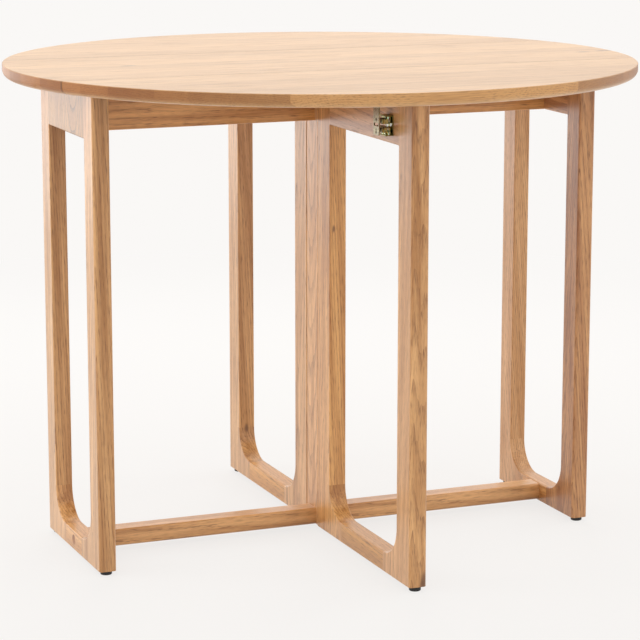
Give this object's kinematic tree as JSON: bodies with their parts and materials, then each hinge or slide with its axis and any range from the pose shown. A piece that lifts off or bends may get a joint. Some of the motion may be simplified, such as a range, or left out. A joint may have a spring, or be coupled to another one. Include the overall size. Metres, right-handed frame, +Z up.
{
  "type": "extending dining table",
  "caption": "Round oak drop-leaf dining table: hinged leaves open on swinging gate legs from a narrow fixed spine, and roller catches hold the gates.",
  "frame": {"origin": "on the floor, under the middle of the top", "axes": "+X along the spine and the seams, +Y from the front leaf to the rear leaf, +Z up"},
  "size_m": [0.996, 0.996, 0.762],
  "materials": {
    "oak_top": "oiled",
    "oak_frame": "oiled",
    "oak_plug": "oiled",
    "beech": "bare",
    "screw_steel": "zinc plated",
    "hinge_steel": "zinc plated",
    "catch_steel": "yellow chromate",
    "roller_plastic": "smooth",
    "glide_plastic": "matt"
  },
  "bodies": {
    "base": {"base_dowels": "beech", "base_screws": "screw_steel", "centre_board": "oak_top", "centre_post": "oak_frame", "centre_post_dowels": "beech", "frame_feet": "glide_plastic", "gate_hinge_fixed_plates": "hinge_steel", "gate_hinge_pins": "hinge_steel", "leaf_hinge_fixed_plates": "hinge_steel", "leaf_hinge_pins": "hinge_steel", "left_apron": "oak_frame", "left_bottom_rail": "oak_frame", "left_front_post": "oak_frame", "left_rear_post": "oak_frame", "left_stretcher": "oak_frame", "left_top_rail": "oak_frame", "right_apron": "oak_frame", "right_bottom_rail": "oak_frame", "right_front_post": "oak_frame", "right_rear_post": "oak_frame", "right_stretcher": "oak_frame", "right_top_rail": "oak_frame", "stretcher_bolts": "screw_steel", "stretcher_plugs": "oak_plug", "top_screws": "screw_steel"},
    "front_gate": {"front_catch_frame": "catch_steel", "front_catch_jaws": "catch_steel", "front_catch_roller_pins": "catch_steel", "front_gate_bottom_rail": "oak_frame", "front_gate_dowels": "beech", "front_gate_foot": "glide_plastic", "front_gate_hinge_plates": "hinge_steel", "front_gate_inner_post": "oak_frame", "front_gate_outer_post": "oak_frame", "front_gate_screws": "screw_steel", "front_gate_top_rail": "oak_frame"},
    "rear_gate": {"rear_catch_frame": "catch_steel", "rear_catch_jaws": "catch_steel", "rear_catch_roller_pins": "catch_steel", "rear_gate_bottom_rail": "oak_frame", "rear_gate_dowels": "beech", "rear_gate_foot": "glide_plastic", "rear_gate_hinge_plates": "hinge_steel", "rear_gate_inner_post": "oak_frame", "rear_gate_outer_post": "oak_frame", "rear_gate_screws": "screw_steel", "rear_gate_top_rail": "oak_frame"},
    "front_leaf": {"front_leaf": "oak_top", "front_leaf_hinge_plates": "hinge_steel", "front_leaf_screws": "screw_steel", "front_strike": "catch_steel"},
    "rear_leaf": {"rear_leaf": "oak_top", "rear_leaf_hinge_plates": "hinge_steel", "rear_leaf_screws": "screw_steel", "rear_strike": "catch_steel"},
    "front_upper_roller": {"front_catch_upper_roller": "roller_plastic"},
    "front_lower_roller": {"front_catch_lower_roller": "roller_plastic"},
    "rear_upper_roller": {"rear_catch_upper_roller": "roller_plastic"},
    "rear_lower_roller": {"rear_catch_lower_roller": "roller_plastic"}
  },
  "joints": [
    {"name": "front_gate_swing", "type": "hinge", "parent": "base", "child": "front_gate", "pos_m": [0.0175, -0.0235, 0.38], "axis": [0, 0, 1], "range_deg": [0, 90]},
    {"name": "rear_gate_swing", "type": "hinge", "parent": "base", "child": "rear_gate", "pos_m": [0.0175, 0.0235, 0.38], "axis": [0, 0, -1], "range_deg": [0, 90]},
    {"name": "front_leaf_lift", "type": "hinge", "parent": "base", "child": "front_leaf", "pos_m": [0, -0.1635, 0.7377], "axis": [-1, 0, 0], "range_deg": [0, 1.2]},
    {"name": "rear_leaf_lift", "type": "hinge", "parent": "base", "child": "rear_leaf", "pos_m": [0, 0.1635, 0.7377], "axis": [1, 0, 0], "range_deg": [0, 1.2]},
    {"name": "front_upper_roller_spin", "type": "hinge", "parent": "front_gate", "child": "front_upper_roller", "pos_m": [-0.0295, -0.309, 0.7005], "axis": [0, 1, 0], "continuous": true},
    {"name": "front_lower_roller_spin", "type": "hinge", "parent": "front_gate", "child": "front_lower_roller", "pos_m": [-0.0295, -0.309, 0.6875], "axis": [0, 1, 0], "continuous": true},
    {"name": "rear_upper_roller_spin", "type": "hinge", "parent": "rear_gate", "child": "rear_upper_roller", "pos_m": [-0.0295, 0.309, 0.7005], "axis": [0, 1, 0], "continuous": true},
    {"name": "rear_lower_roller_spin", "type": "hinge", "parent": "rear_gate", "child": "rear_lower_roller", "pos_m": [-0.0295, 0.309, 0.6875], "axis": [0, 1, 0], "continuous": true}
  ]
}
